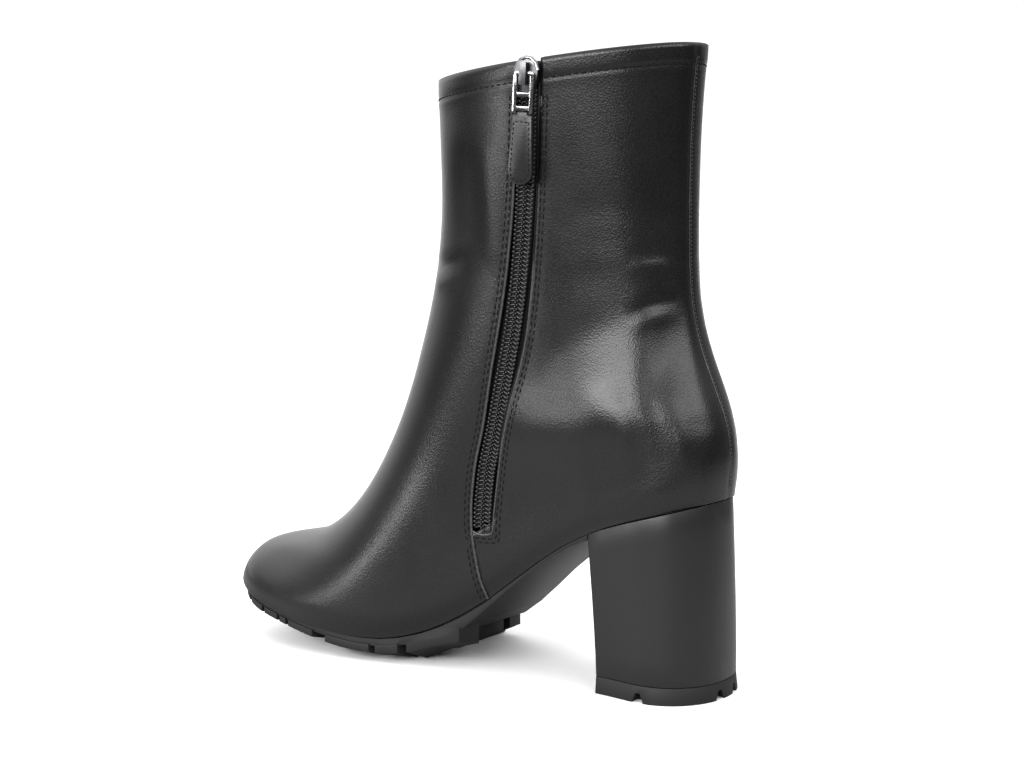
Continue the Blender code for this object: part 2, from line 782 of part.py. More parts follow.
def make_outsole(group, cutters):
    """Plate from the heel's breast to the toe, with lugs along both edges and across the middle."""
    tip = profile_end(0, 240.0)
    y = foot_stations(BREAST_Y, tip, 30)
    plan = closed_plan(sole_half(y, -1, -PLATE_INSET), sole_half(y, 1, -PLATE_INSET))
    plan[0, 0] = FOOT(tip)[1]
    top = sole_top(plan[:, 1])
    rings = [np.column_stack([plan, plate_low(plan[:, 0], plan[:, 1])]), np.column_stack([plan, top])]
    rubber = material("sole_rubber", (0.025, 0.025, 0.026), 0.62)
    sole = add_object("outsole", loft(rings, "outsole"), group, rubber)
    blocks = []
    for label, side, rows in (("inner", -1, INNER_LUGS), ("outer", 1, OUTER_LUGS)):
        for rear, front, depth in rows[1:]:
            stations = np.linspace(rear, front, 5)
            edge = sole_half(stations, side, lug_edge(stations))
            inside = np.column_stack([edge[:, 0] - side * depth, stations])
            blocks.append(lug(f"{label}_lug_{rear:.0f}", edge, inside, side < 0, cutters))
    for rear, front, half in CENTRE_LUGS[1:]:
        stations = np.linspace(rear, front, 3)
        middle = FOOT(stations)[1]
        edge = np.column_stack([middle - half, stations])
        inside = np.column_stack([middle + half, stations])
        blocks.append(lug(f"centre_lug_{rear:.0f}", edge, inside, False, cutters))
    for block in blocks:
        boolean(sole, block, "UNION")
    return sole


def heel_ring(share, low_z, grow=0.0):
    """Outline of the heel at a share of its height: rounded at the back, flat at the breast."""
    back_y, front_y, back_half, breast_half = (float(value) for value in HEEL(share))
    back_y -= grow
    turn = np.linspace(0, np.pi / 2, 14)
    side_y = back_y + (front_y - HEEL_CORNER - back_y) * (1 - np.cos(turn))
    corner = np.radians([30, 60, 90])
    y = np.concatenate([side_y, front_y - HEEL_CORNER + HEEL_CORNER * np.sin(corner)])
    centre = FOOT(y)[1] + HEEL_SHIFT
    forward = ease((y - HEEL_WIDEST_Y) / (front_y - HEEL_WIDEST_Y))
    half = back_half + grow + (breast_half - back_half) * forward
    full = 1 - np.clip(1 - (y - back_y) / HEEL_ROUNDING, 0, None) ** HEEL_SQUARE
    width = half * np.clip(full, 0, 1) ** (1 / HEEL_SQUARE)
    width[len(side_y) :] -= HEEL_CORNER * (1 - np.cos(corner))
    plan = closed_plan(np.column_stack([centre - width, y]), np.column_stack([centre + width, y]))
    high = FOOT(plan[:, 1])[0] - GAP
    return np.column_stack([plan, low_z + share * (high - low_z)])


def make_heel(group):
    rings = [heel_ring(share, LIFT_HEIGHT + GAP) for share in np.linspace(0, 1, 8)]
    cover = material("heel_cover", (0.05, 0.05, 0.052), 0.55)
    return add_object("heel", loft(rings, "heel"), group, cover)


def make_top_lift(group, cutters):
    """Rubber tread under the heel, with notches in its lower edge."""
    plan = heel_ring(0, 0, LIFT_FLARE)
    rings = [heel_ring(0, 0, LIFT_FLARE), heel_ring(0, LIFT_HEIGHT)]
    rubber = material("lift_rubber", (0.025, 0.025, 0.026), 0.6)
    lift = add_object("top_lift", loft(rings, "top_lift"), group, rubber)
    middle_x = float(FOOT(0)[1])
    for angle, centre_y in LIFT_NOTCHES[1:]:
        name = f"notch_{angle}"
        wedge = [(NOTCH_WIDTH, -1.0), (-NOTCH_WIDTH, -1.0)]
        wedge += [(-NOTCH_WIDTH / 3, NOTCH_HEIGHT), (NOTCH_WIDTH / 3, NOTCH_HEIGHT)]
        reach = 12.0
        turn = math.radians(angle)
        out = np.array([math.cos(turn), math.sin(turn)])
        across = np.array([-out[1], out[0]])
        rim = np.array([middle_x, centre_y]) + out * notch_start(out, centre_y, plan)
        sections = []
        for along in (-NOTCH_DEPTH, reach):
            sections.append([(*(rim + out * along + across * u), z) for u, z in wedge])
        boolean(lift, cutter(name, bar(sections, name), cutters), "DIFFERENCE")
    return lift


def notch_start(out, centre_y, plan):
    """Distance from the lift's middle line to its rim in the direction of a notch."""
    away = plan[:, :2] - np.array([float(FOOT(0)[1]), centre_y])
    along = away @ out
    beside = np.abs(away[:, 0] * out[1] - away[:, 1] * out[0])
    return float(along[np.argmin(np.where(along > 0, beside, np.inf))])


def main():
    for old in list(bpy.data.objects):
        bpy.data.objects.remove(old)
    parts = collection("bootie")
    cutters = collection("cutters")
    shares, zip_row = row_shares()
    make_upper(parts, shares, zip_row)
    make_insole(parts)
    make_outsole(parts, cutters)
    make_heel(parts)
    make_top_lift(parts, cutters)
    make_zip_tape(parts, shares, zip_row)
    make_slider(parts, cutters)
    make_pull(parts, cutters)


main()
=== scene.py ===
import json
import math

import bpy
import numpy as np
from mathutils import Matrix, Vector
from mathutils.bvhtree import BVHTree

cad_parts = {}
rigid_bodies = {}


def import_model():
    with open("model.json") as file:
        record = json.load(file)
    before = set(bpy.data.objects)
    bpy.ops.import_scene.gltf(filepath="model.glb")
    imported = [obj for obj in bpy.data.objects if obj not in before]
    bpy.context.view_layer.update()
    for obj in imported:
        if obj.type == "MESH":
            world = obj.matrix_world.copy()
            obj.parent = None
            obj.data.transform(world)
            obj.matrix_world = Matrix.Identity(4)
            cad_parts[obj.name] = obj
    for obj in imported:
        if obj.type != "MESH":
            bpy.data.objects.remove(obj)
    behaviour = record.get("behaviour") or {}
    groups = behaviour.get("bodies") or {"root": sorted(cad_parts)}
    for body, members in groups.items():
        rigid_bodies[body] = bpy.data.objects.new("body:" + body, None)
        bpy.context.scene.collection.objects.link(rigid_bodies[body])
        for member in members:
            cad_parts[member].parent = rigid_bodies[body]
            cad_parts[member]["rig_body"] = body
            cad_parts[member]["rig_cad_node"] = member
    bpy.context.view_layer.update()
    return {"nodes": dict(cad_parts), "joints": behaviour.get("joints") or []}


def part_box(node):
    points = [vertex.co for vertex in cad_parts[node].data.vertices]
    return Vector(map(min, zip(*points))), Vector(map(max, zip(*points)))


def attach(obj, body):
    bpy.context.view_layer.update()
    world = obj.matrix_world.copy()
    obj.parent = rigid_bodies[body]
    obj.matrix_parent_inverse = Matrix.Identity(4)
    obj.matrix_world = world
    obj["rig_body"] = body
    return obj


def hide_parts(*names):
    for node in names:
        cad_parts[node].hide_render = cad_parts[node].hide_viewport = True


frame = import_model()
MM = 0.001

# %% [markdown]
# Every piece begins the same way: take a copy of a solid, weld its corners, and work on that.
# The original stays where it is, because the moving parts and the collisions depend on it.
# %% Helpers for copying and shaping
WELD = 1e-6
QUAD_FACE = math.radians(50)
QUAD_SHAPE = math.radians(120)


def pick(piece):
    """Selects one piece and nothing else."""
    bpy.ops.object.select_all(action="DESELECT")
    piece.select_set(True)
    bpy.context.view_layer.objects.active = piece


def copy_of(node, name):
    """Welded copy of a solid, free of the solid's marks and materials."""
    pick(frame["nodes"][node])
    bpy.ops.object.duplicate()
    piece = bpy.context.active_object
    piece.name = piece.data.name = name
    piece.parent = None
    del piece["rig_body"], piece["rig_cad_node"]
    piece.data.materials.clear()
    bpy.ops.mesh.customdata_custom_splitnormals_clear()
    bpy.ops.object.mode_set(mode="EDIT")
    bpy.ops.mesh.select_all(action="SELECT")
    bpy.ops.mesh.remove_doubles(threshold=WELD)
    bpy.ops.object.mode_set(mode="OBJECT")
    return piece


def pair_triangles(piece, influence):
    """Turns the triangles into four-sided faces that subdivide evenly."""
    pick(piece)
    bpy.ops.object.mode_set(mode="EDIT")
    bpy.ops.mesh.select_all(action="SELECT")
    bpy.ops.mesh.tris_convert_to_quads(
        face_threshold=QUAD_FACE, shape_threshold=QUAD_SHAPE, topology_influence=influence)
    bpy.ops.object.mode_set(mode="OBJECT")


def clear_flats(piece):
    """Merges the triangles of each flat face into one face."""
    pick(piece)
    bpy.ops.object.mode_set(mode="EDIT")
    bpy.ops.mesh.select_all(action="SELECT")
    bpy.ops.mesh.dissolve_limited(angle_limit=math.radians(1))
    bpy.ops.object.mode_set(mode="OBJECT")


def shape(piece, kind, **settings):
    """Adds one modifier, sets it up and applies it."""
    pick(piece)
    modifier = piece.modifiers.new(kind.lower(), kind)
    for setting, value in settings.items():
        setattr(modifier, setting, value)
    bpy.ops.object.modifier_apply(modifier=modifier.name)


def subdivide(piece, levels):
    shape(piece, "SUBSURF", levels=levels, render_levels=levels)


def soften_edges(piece, width, segments=2, angle=40):
    shape(piece, "BEVEL", width=width * MM, segments=segments,
          limit_method="ANGLE", angle_limit=math.radians(angle))


def smooth(piece, angle=180):
    pick(piece)
    bpy.ops.object.shade_smooth_by_angle(angle=math.radians(angle))


def read_points(piece):
    """The piece's vertices in millimetres."""
    flat = np.empty(len(piece.data.vertices) * 3)
    piece.data.vertices.foreach_get("co", flat)
    return flat.reshape(-1, 3) / MM


def write_points(piece, points):
    piece.data.vertices.foreach_set("co", (points * MM).ravel())
    piece.data.update()


def tree_of(piece):
    """Search tree for shooting rays at a piece."""
    mesh = piece.data
    return BVHTree.FromPolygons([v.co for v in mesh.vertices],
                                [tuple(p.vertices) for p in mesh.polygons])


# %% [markdown]
# The leather upper is cut in two panels that meet along the zip's line. This line runs from the
# sole up to the collar, and the stitches, the lips and the zip all follow it, so it is written
# down once, as the height and the distance from the heel's middle.
# %% The panel edge and the collar
EDGE_Z = (20, 31, 43, 58, 79, 100, 120, 152, 183, 235)
EDGE_Y = (69.6, 72.2, 75.2, 77.4, 76.1, 70.8, 66.4, 59.5, 54.6, 50.2)
SLOT_Z = (40, 55, 69, 90, 106, 130, 146, 165, 185, 210, 228, 245)
SLOT_WIDTH = (8.4, 8.6, 9.8, 10.6, 11.2, 12.9, 12.2, 10.8, 9.8, 9.2, 9.0, 9.0)
ZIP_BOTTOM = 55.4
COLLAR_FRONT = (97.0, 230.8)
COLLAR_BACK = (-10.0, 243.3)


def smooth_line(knots, values):
    """Function of a smooth line through the given values."""
    knots, values = np.array(knots, float), np.array(values, float)
    slopes = np.gradient(values, knots)

    def at(place):
        place = np.asarray(place, float)
        i = np.clip(np.searchsorted(knots, place) - 1, 0, len(knots) - 2)
        gap = knots[i + 1] - knots[i]
        t = (place - knots[i]) / gap
        rise = values[i + 1] - values[i]
        bend = (1 - t) * (slopes[i] * gap - rise) - t * (slopes[i + 1] * gap - rise)
        return values[i] + t * rise + t * (1 - t) * bend

    return at


edge_y = smooth_line(EDGE_Z, EDGE_Y)
slot_width = smooth_line(SLOT_Z, SLOT_WIDTH)


def collar_z(place):
    """Height of the collar, which falls in a straight line from the back to the front."""
    (front_y, front_z), (back_y, back_z) = COLLAR_FRONT, COLLAR_BACK
    return back_z + (front_z - back_z) * (np.asarray(place, float) - back_y) / (front_y - back_y)


print("zip line at the collar, mm:", round(float(edge_y(EDGE_Z[-1])), 2))

# %% [markdown]
# The upper itself is one closed shell with an outside, an inside and a slot for the zip.
# Two rounds of subdivision give it enough points to carry soft folds. A crease on the collar and
# on the lips keeps those edges as crisp as cut leather while the rest turns smooth.
# %% The leather upper
LIP_ANGLE = math.radians(60)
LIP_CREASE = 0.8
upper = copy_of("upper", "upper_leather")
pair_triangles(upper, 1.5)
bpy.ops.object.mode_set(mode="EDIT")
bpy.ops.mesh.select_all(action="DESELECT")
bpy.ops.mesh.select_mode(type="EDGE")
bpy.ops.mesh.edges_select_sharp(sharpness=LIP_ANGLE)
bpy.ops.transform.edge_crease(value=LIP_CREASE)
bpy.ops.mesh.select_mode(type="VERT")
bpy.ops.object.mode_set(mode="OBJECT")
subdivide(upper, 2)
print("upper faces:", len(upper.data.polygons))

# %% [markdown]
# Worn-in leather never lies flat. The photo shows a dent high on the quarter, a sharp crease
# that runs down from the back, a full heel, and a break at the front of the ankle. Each is a
# path on the skin with a height and a width: negative heights are troughs, positive ones ridges.
# %% The folds of the quarter and the ankle
FOLDS = (
    # height, width, path
    (-0.2, 5.0, ((-30.6, 36, 174), (-29.4, 27.9, 181), (-24.7, 15.3, 183), (-17.6, 5, 181),
                  (-11.4, 0, 175))),
    (0.15, 5.0, ((-30, 36, 161), (-28, 24, 164), (-19.4, 7.2, 164), (-11, 0, 161))),
    (-0.4, 1.8, ((-23, 12, 164.6), (-15.3, 2.8, 165.6), (-10, -1, 165))),
    (0.3, 2.0, ((-23, 12, 161), (-15.3, 2.8, 161.4), (-10, -1, 161))),
    (-0.3, 1.5, ((-9.5, -1.2, 164.6), (-6, -2.4, 164), (-1, -3.3, 163))),
    (-0.6, 2.2, ((-9, -3, 148), (-13.3, -0.4, 148.5), (-18.5, 4.2, 147), (-24, 11, 143))),
    (0.3, 2.6, ((-9, -3, 143.4), (-14, -0.4, 143), (-19, 4.2, 142), (-24, 11, 138))),
    (-0.5, 8.0, ((-22, 8, 146), (-27, 17.7, 140), (-30, 31.4, 133), (-31, 44, 126))),
    (2.0, 16.0, ((-27, 66, 95), (-30, 48, 97), (-30, 32, 99), (-29, 16, 103), (-24, 0, 108))),
    (2.0, 16.0, ((-28, 68, 95), (-30.5, 54, 96), (-31, 40, 98), (-30, 24, 101), (-28, 8, 105))),
    (-1.2, 13.0, ((-27, 8, 95), (-24, -3, 95), (-19, -9, 96))),
    (-2.2, 16.0, ((-28, 24, 80), (-27, 10, 80), (-24, -4, 81), (-14, -15, 82))),
    (-0.5, 5.0, ((-12, -2, 147), (-17.1, -1, 130.7), (-21, -1.7, 120), (-26, -1, 106))),
    (0.4, 6.0, ((-4, -4, 148), (-9.4, -9.5, 122.4), (-14, -12.9, 104))),
    (-0.6, 2.4, ((-14, 104, 157), (-20, 98.5, 158.5), (-26.2, 88.5, 159.4), (-30, 78, 163))),
    (0.4, 3.0, ((-16, 102, 152.6), (-21, 97.1, 153.5), (-27.5, 85, 155))),
    (0.5, 5.0, ((-33.5, 67, 206), (-33.1, 65.2, 181), (-32, 64.4, 160))),
    (-0.8, 6.0, ((-29.8, 80, 206), (-29.8, 80, 187), (-30, 78, 168))),
)
FOLD_FADE = 0.6
OUTER_SHARE = 0.5
LEG_MIDDLE_Y = 50.0
LEG_HALF_X, LEG_HALF_Y = 31.0, 52.0


def along(points, path):
    """Distance from a path, and the share of the path where the nearest place lies."""
    path = np.array(path, float)
    steps = np.diff(path, axis=0)
    lengths = np.linalg.norm(steps, axis=1)
    starts = np.concatenate([[0], np.cumsum(lengths)])
    nearest = np.full(len(points), np.inf)
    share = np.zeros(len(points))
    for begin, step, length, start in zip(path, steps, lengths, starts):
        t = np.clip((points - begin) @ step / length ** 2, 0, 1)
        away = np.linalg.norm(points - begin - t[:, None] * step, axis=1)
        closer = away < nearest
        nearest[closer] = away[closer]
        share[closer] = (start + t[closer] * length) / starts[-1]
    return nearest, share


def bump(away, width):
    return np.exp(-(away / width) ** 2)


def fold(points, height, width, path):
    """Soft trough or ridge that fades towards both ends of its path."""
    away, share = along(points, path)
    return height * bump(away, width) * np.sin(np.pi * share) ** FOLD_FADE


def leg_outward(points):
    """Level direction away from the leg's middle line."""
    out = np.zeros_like(points)
    out[:, 0] = points[:, 0] / LEG_HALF_X ** 2
    out[:, 1] = (points[:, 1] - LEG_MIDDLE_Y) / LEG_HALF_Y ** 2
    return out / np.maximum(np.linalg.norm(out, axis=1), 1e-9)[:, None]


skin = read_points(upper)
mirrored = skin * (-1, 1, 1)
shift = np.zeros(len(skin))
for height, width, path in FOLDS:
    shift += fold(skin, height, width, path)
    shift += OUTER_SHARE * fold(mirrored, height, width, path)
print("folds, mm:", round(shift.min(), 2), "to", round(shift.max(), 2))

# %% [markdown]
# Where leather is sewn, the thread pulls it down and the edge beside it swells. The hem, the
# two lips of the zip, the panel seams and the back seam each get a shallow groove and a roll.
# %% Hem, lips and seams pressed into the skin
HEM_ROW = 7.7
ROWS = (1.4, 2.9)
BACK_SEAM_Z = (60, 100, 140, 180, 240)
BACK_SEAM_X = (0.0, -0.5, -1.6, -1.8, -1.6)
SIDE_FROM = 8.0
ZIP_LEAD, ZIP_FADE = 3.0, 4.0
BACK_UP_TO, BACK_ABOVE = 12.0, 60.0
HEM_GROOVE, HEM_WIDTH = 0.3, 0.8
THREAD_GROOVE, THREAD_WIDTH = 0.16, 0.6
LIP_ROLL, LIP_ROLL_AT, LIP_ROLL_WIDTH = 0.2, 0.3, 0.8
SEAM_GROOVE, SEAM_AT, SEAM_WIDTH = 0.5, -0.9, 0.7
BACK_GROOVE, BACK_WIDTH = 0.35, 0.9

back_x = smooth_line(BACK_SEAM_Z, BACK_SEAM_X)
x, y, z = skin.T
below_collar = collar_z(y) - z
in_front = y - edge_y(z)
behind = -in_front - slot_width(z)
by_zip = (x < -SIDE_FROM) * np.clip((z - ZIP_BOTTOM + ZIP_LEAD) / ZIP_FADE, 0, 1)
by_seam = (1 - by_zip) * (np.abs(x) > SIDE_FROM)
at_back = (y < BACK_UP_TO) * (z > BACK_ABOVE)

shift -= HEM_GROOVE * bump(below_collar - HEM_ROW, HEM_WIDTH)
for row in ROWS:
    shift -= THREAD_GROOVE * bump(in_front - row, THREAD_WIDTH)
    shift -= by_zip * THREAD_GROOVE * bump(behind - row, THREAD_WIDTH)
shift += by_zip * LIP_ROLL * bump(behind - LIP_ROLL_AT, LIP_ROLL_WIDTH)
shift -= by_seam * SEAM_GROOVE * bump(in_front - SEAM_AT, SEAM_WIDTH)
shift -= at_back * BACK_GROOVE * bump(x - back_x(z), BACK_WIDTH)
skin += leg_outward(skin) * shift[:, None]
write_points(upper, skin)
smooth(upper)
print("skin moved, mm:", round(shift.min(), 2), "to", round(shift.max(), 2))

# %% [markdown]
# The shell's inside is lined. In the leg a face that looks at the leg's middle line is an inside
# face. In the foot a face that looks across the shoe at the same shell is one, so a ray tells.
# %% The lining's faces
LINING_REACH = 12.0
LEG_FROM = 100.0
LINING_TURN = -0.3
RAY_START = 0.1
upper_tree = tree_of(upper)
centres = np.array([face.center for face in upper.data.polygons]) / MM
normals = np.array([face.normal for face in upper.data.polygons])
inside = np.sum(normals * leg_outward(centres), axis=1) < LINING_TURN
for face in upper.data.polygons:
    if centres[face.index, 2] < LEG_FROM:
        hit = upper_tree.ray_cast(face.center + face.normal * RAY_START * MM, face.normal)
        inside[face.index] = hit[0] is not None and hit[3] > LINING_REACH * MM
upper.data.polygons.foreach_set("material_index", inside.astype(int))
print("lining faces:", int(inside.sum()))

# %% [markdown]
# One stitch is a short thread, fat in the middle, that dips into the leather at both ends. It
# is modelled once and copied along every row, so a whole row becomes a single mesh.
# %% One stitch, and how to repeat it
STITCH = (0.36, 1.1, 0.3)
STITCH_PITCH = 2.9
STITCH_SINK = 0.02


def stretched_ball(name, half, segments=8, rings=6):
    """Ball scaled to three half lengths."""
    bpy.ops.mesh.primitive_uv_sphere_add(segments=segments, ring_count=rings, radius=MM)
    ball = bpy.context.active_object
    ball.name = ball.data.name = name
    bpy.ops.object.mode_set(mode="EDIT")
    bpy.ops.mesh.select_all(action="SELECT")
    bpy.ops.transform.resize(value=half)
    bpy.ops.object.mode_set(mode="OBJECT")
    return ball


def repeat(pattern, places, name):
    """One mesh with a copy of the pattern at every place, and the pattern removed."""
    local = read_points(pattern) * MM
    faces = [tuple(p.vertices) for p in pattern.data.polygons]
    vertices, polygons = [], []
    for place in places:
        turn, move = np.array(place.to_3x3()), np.array(place.translation)
        start = len(vertices)
        vertices.extend(local @ turn.T + move)
        polygons.extend(tuple(start + i for i in face) for face in faces)
    mesh = bpy.data.meshes.new(name)
    mesh.from_pydata(vertices, [], polygons)
    bpy.data.objects.remove(pattern)
    piece = bpy.data.objects.new(name, mesh)
    bpy.context.scene.collection.objects.link(piece)
    smooth(piece)
    print(name, "copies:", len(places), "faces:", len(polygons))
    return piece


def frame_at(spot, up, ahead):
    """Place whose Y runs ahead and whose Z stands out of the surface."""
    side = ahead.cross(up).normalized()
    forward = up.cross(side).normalized()
    place = Matrix((side, forward, up)).transposed().to_4x4()
    place.translation = spot
    return place


def places_along(hits, pitch, sink=0.0):
    """Even places along a row of (point, normal) hits on a surface."""
    spots = np.array([h[0] for h in hits])
    normals = np.array([h[1] for h in hits])
    walked = np.concatenate([[0], np.cumsum(np.linalg.norm(np.diff(spots, axis=0), axis=1))])
    count = max(2, round(walked[-1] / (pitch * MM)))
    stops = (np.arange(count) + 0.5) / count * walked[-1]

    def at(where, table):
        return Vector([np.interp(where, walked, column) for column in table.T])

    places = []
    for stop in stops:
        up = at(stop, normals).normalized()
        ahead = at(stop + 0.3 * MM, spots) - at(stop - 0.3 * MM, spots)
        places.append(frame_at(at(stop, spots) - up * sink * MM, up, ahead))
    return places


FAR = 200.0


def cast(tree, start, aim):
    """Point and outward normal where a ray in millimetres meets a surface."""
    point, normal, _, _ = tree.ray_cast(Vector(start) * MM, Vector(aim).normalized())
    return None if point is None else (point, normal)


def cast_side(tree, path, side):
    """Hits of rays from the inner (-1) or outer (1) side for a path of (y, z)."""
    hits = [cast(tree, (side * FAR, py, pz), (-side, 0, 0)) for py, pz in path]
    return [h for h in hits if h]


# %% [markdown]
# The photo shows thread along the hem, beside both lips of the zip and round its lower end,
# along the panel seam down to the sole, and next to the back seam. The outer side is hidden, so
# its panel seam is sewn like the inner one.
# %% The rows of stitches
LEG_REACH = 45.0
LIP_CLEAR = 0.6
ROW_STEP = 1.5
ROW_TOP, SOLE_LINE = 224, 22
BACK_TOP, BACK_FOOT = 238, 78
INNER_SEAM_TOPS = (52, 50)
OUTER_SEAM_TOP = 225
BACK_THREAD = 1.3
FINE_STITCH = (0.2, 0.5, 0.22)
FINE_PITCH = 1.5


def hem_hits(count=240):
    """Hits round the leg below the collar, from one side of the zip to the other."""
    hits = []
    for angle in np.linspace(0, 2 * math.pi, count + 1):
        aim = Vector((math.cos(angle), math.sin(angle), 0))
        level = float(collar_z(LEG_MIDDLE_Y + LEG_REACH * aim.y)) - HEM_ROW
        for _ in range(2):
            start = Vector((0, LEG_MIDDLE_Y, level)) + aim * FAR
            hit = cast(upper_tree, start, -aim)
            if hit:
                level = float(collar_z(hit[0].y / MM)) - HEM_ROW
        if not hit or hit[0].x * aim.x < 0:
            continue
        off_edge = hit[0].y / MM - edge_y(level)
        if not (hit[0].x < 0 and -slot_width(level) - LIP_CLEAR < off_edge < LIP_CLEAR):
            hits.append(hit)
    gap = max(range(len(hits)), key=lambda i: (hits[i][0] - hits[i - 1][0]).length)
    return hits[gap:] + hits[:gap]


LEVELS = np.arange(ROW_TOP, ZIP_BOTTOM + 2, -ROW_STEP)


def slot_loop(away):
    """Path down the front lip, round the zip's lower end and up the rear lip."""
    front = [(float(edge_y(h)) + away, h) for h in LEVELS]
    rear = [(float(edge_y(h) - slot_width(h)) - away, h) for h in LEVELS[::-1]]
    half = float(slot_width(ZIP_BOTTOM)) / 2
    middle = float(edge_y(ZIP_BOTTOM)) - half
    turn = []
    for angle in np.linspace(0, math.pi, 14):
        cosine, sine = math.cos(angle), math.sin(angle)
        turn.append((middle + (half + away) * math.copysign(abs(cosine) ** 0.5, cosine),
                     ZIP_BOTTOM + 1.0 - (1.0 + away) * sine ** 0.5))
    return front + turn + rear


def seam_line(away, top):
    """Path beside the panel's edge from a height down to the sole."""
    return [(float(edge_y(h)) + away, h) for h in np.arange(top, SOLE_LINE, -ROW_STEP)]


def back_line(away):
    """Hits down the back, a little to the outer side of the seam."""
    hits = [cast(upper_tree, (float(back_x(h)) + away, -FAR, h), (0, 1, 0))
            for h in np.arange(BACK_TOP, BACK_FOOT, -ROW_STEP)]
    return [h for h in hits if h]


rows = {
    "hem_stitches": hem_hits(),
    "zip_stitches_near": cast_side(upper_tree, slot_loop(ROWS[0]), -1),
    "zip_stitches_far": cast_side(upper_tree, slot_loop(ROWS[1]), -1),
    "inner_seam_near": cast_side(upper_tree, seam_line(ROWS[0], INNER_SEAM_TOPS[0]), -1),
    "inner_seam_far": cast_side(upper_tree, seam_line(ROWS[1], INNER_SEAM_TOPS[1]), -1),
    "outer_seam_near": cast_side(upper_tree, seam_line(ROWS[0], OUTER_SEAM_TOP), 1),
    "outer_seam_far": cast_side(upper_tree, seam_line(ROWS[1], OUTER_SEAM_TOP), 1),
    "back_stitches": back_line(BACK_THREAD),
}
threads = []
for name, hits in rows.items():
    fine = name == "back_stitches"
    stitch = stretched_ball("stitch", FINE_STITCH if fine else STITCH)
    pitch = FINE_PITCH if fine else STITCH_PITCH
    threads.append(repeat(stitch, places_along(hits, pitch, STITCH_SINK), name))

# %% [markdown]
# The front panel's edge is folded over, and its fold catches the light as a thin bright line
# from the collar to the sole. A cord of leather laid along the edge gives that fold, another
# rounds off the rear lip, a short one closes the zip's lower end, and a thin one marks the back.
# The cords' leather is coloured much lighter than the upper: a painted highlight along each fold.
# %% The folded edges beside the zip
FOLD_RADIUS = 0.5
FRONT_SINK, REAR_SINK, END_SINK = 0.15, 0.3, 0.1
LIP_TOP = 228
LIP_STEP = 0.9
END_DROP, END_RISE, END_REACH = 1.2, 1.2, 0.96
BACK_FOLD_AT, BACK_FOLD_RADIUS, BACK_FOLD_SINK = 0.35, 0.32, 0.12


def cord_of(name, hits, radius, sink):
    """Round cord along a row of hits, made from a line that is turned into a thick curve."""
    line = bpy.data.meshes.new(name)
    points = [p - n * sink * MM for p, n in hits]
    line.from_pydata(points, [(i, i + 1) for i in range(len(points) - 1)], [])
    piece = bpy.data.objects.new(name, line)
    bpy.context.scene.collection.objects.link(piece)
    pick(piece)
    bpy.ops.object.convert(target="CURVE")
    piece.data.bevel_depth = radius * MM
    piece.data.bevel_resolution = 3
    piece.data.use_fill_caps = True
    bpy.ops.object.convert(target="MESH")
    smooth(piece)
    return piece


def beside(path, step):
    """Hits a small step off a path, moved back onto it, for paths that run along a lip."""
    hits = cast_side(upper_tree, [(py + step, pz) for py, pz in path], -1)
    return [(p - Vector((0, step * MM, 0)), n) for p, n in hits]


front_lip = [(float(edge_y(h)), h) for h in np.arange(LIP_TOP, SOLE_LINE, -ROW_STEP)]
rear_lip = [(float(edge_y(h) - slot_width(h)), h)
            for h in np.arange(LIP_TOP, ZIP_BOTTOM + 1, -ROW_STEP)]
end_half = float(slot_width(ZIP_BOTTOM)) / 2
end_middle = float(edge_y(ZIP_BOTTOM)) - end_half
zip_end = [(end_middle + end_half * u, ZIP_BOTTOM + END_RISE * u * u)
           for u in np.linspace(-END_REACH, END_REACH, 13)]
end_hits = cast_side(upper_tree, [(py, ZIP_BOTTOM - END_DROP) for py, _ in zip_end], -1)
end_hits = [(p + Vector((0, 0, pz * MM - p.z)), n) for (p, n), (_, pz) in zip(end_hits, zip_end)]
cords = [
    cord_of("front_fold", beside(front_lip, LIP_STEP), FOLD_RADIUS, FRONT_SINK),
    cord_of("rear_fold", beside(rear_lip, -LIP_STEP), FOLD_RADIUS, REAR_SINK),
    cord_of("zip_end_fold", end_hits, FOLD_RADIUS, END_SINK),
    cord_of("back_fold", back_line(BACK_FOLD_AT), BACK_FOLD_RADIUS, BACK_FOLD_SINK),
]

# %% [markdown]
# The zip's chain is two nylon coils. Seen from outside, each coil is a column of short slanted
# bars, thick where the coil turns at the side and where it hooks into the other in the middle.
# %% The coils of the zip
COIL_PITCH = 1.65
COIL_BAR = (1.7, 0.36, 0.4)
# radius, distance out and distance up of the turn at the side and of the hook in the middle
COIL_ENDS = ((0.62, 3.25, 0.4), (0.5, 0.4, -0.4))
COIL_END_LIFT = 0.1
COIL_SLANT = math.radians(16)
COIL_TOP = 226.0
COIL_SIDE = 1.85
COIL_LIFT = 0.7
COIL_MEASURE = 1.9
CHAIN_SPAN, CHAIN_EXTRA = 8, 4
tape_tree = tree_of(frame["nodes"]["zip_tape"])
chain_path = [(float(edge_y(h) - slot_width(h) / 2) + COIL_MEASURE, h)
              for h in np.arange(ZIP_BOTTOM, COIL_TOP, 0.5)]
chain = [(p - Vector((0, COIL_MEASURE * MM, 0)), n)
         for p, n in cast_side(tape_tree, chain_path, -1)]
print("chain from, mm:", round(chain[0][0].z / MM, 1), "to", round(chain[-1][0].z / MM, 1))
step = (chain[0][0] - chain[CHAIN_SPAN][0]) / CHAIN_SPAN
chain = [(chain[0][0] + step * n, chain[0][1]) for n in range(CHAIN_EXTRA, 0, -1)] + chain


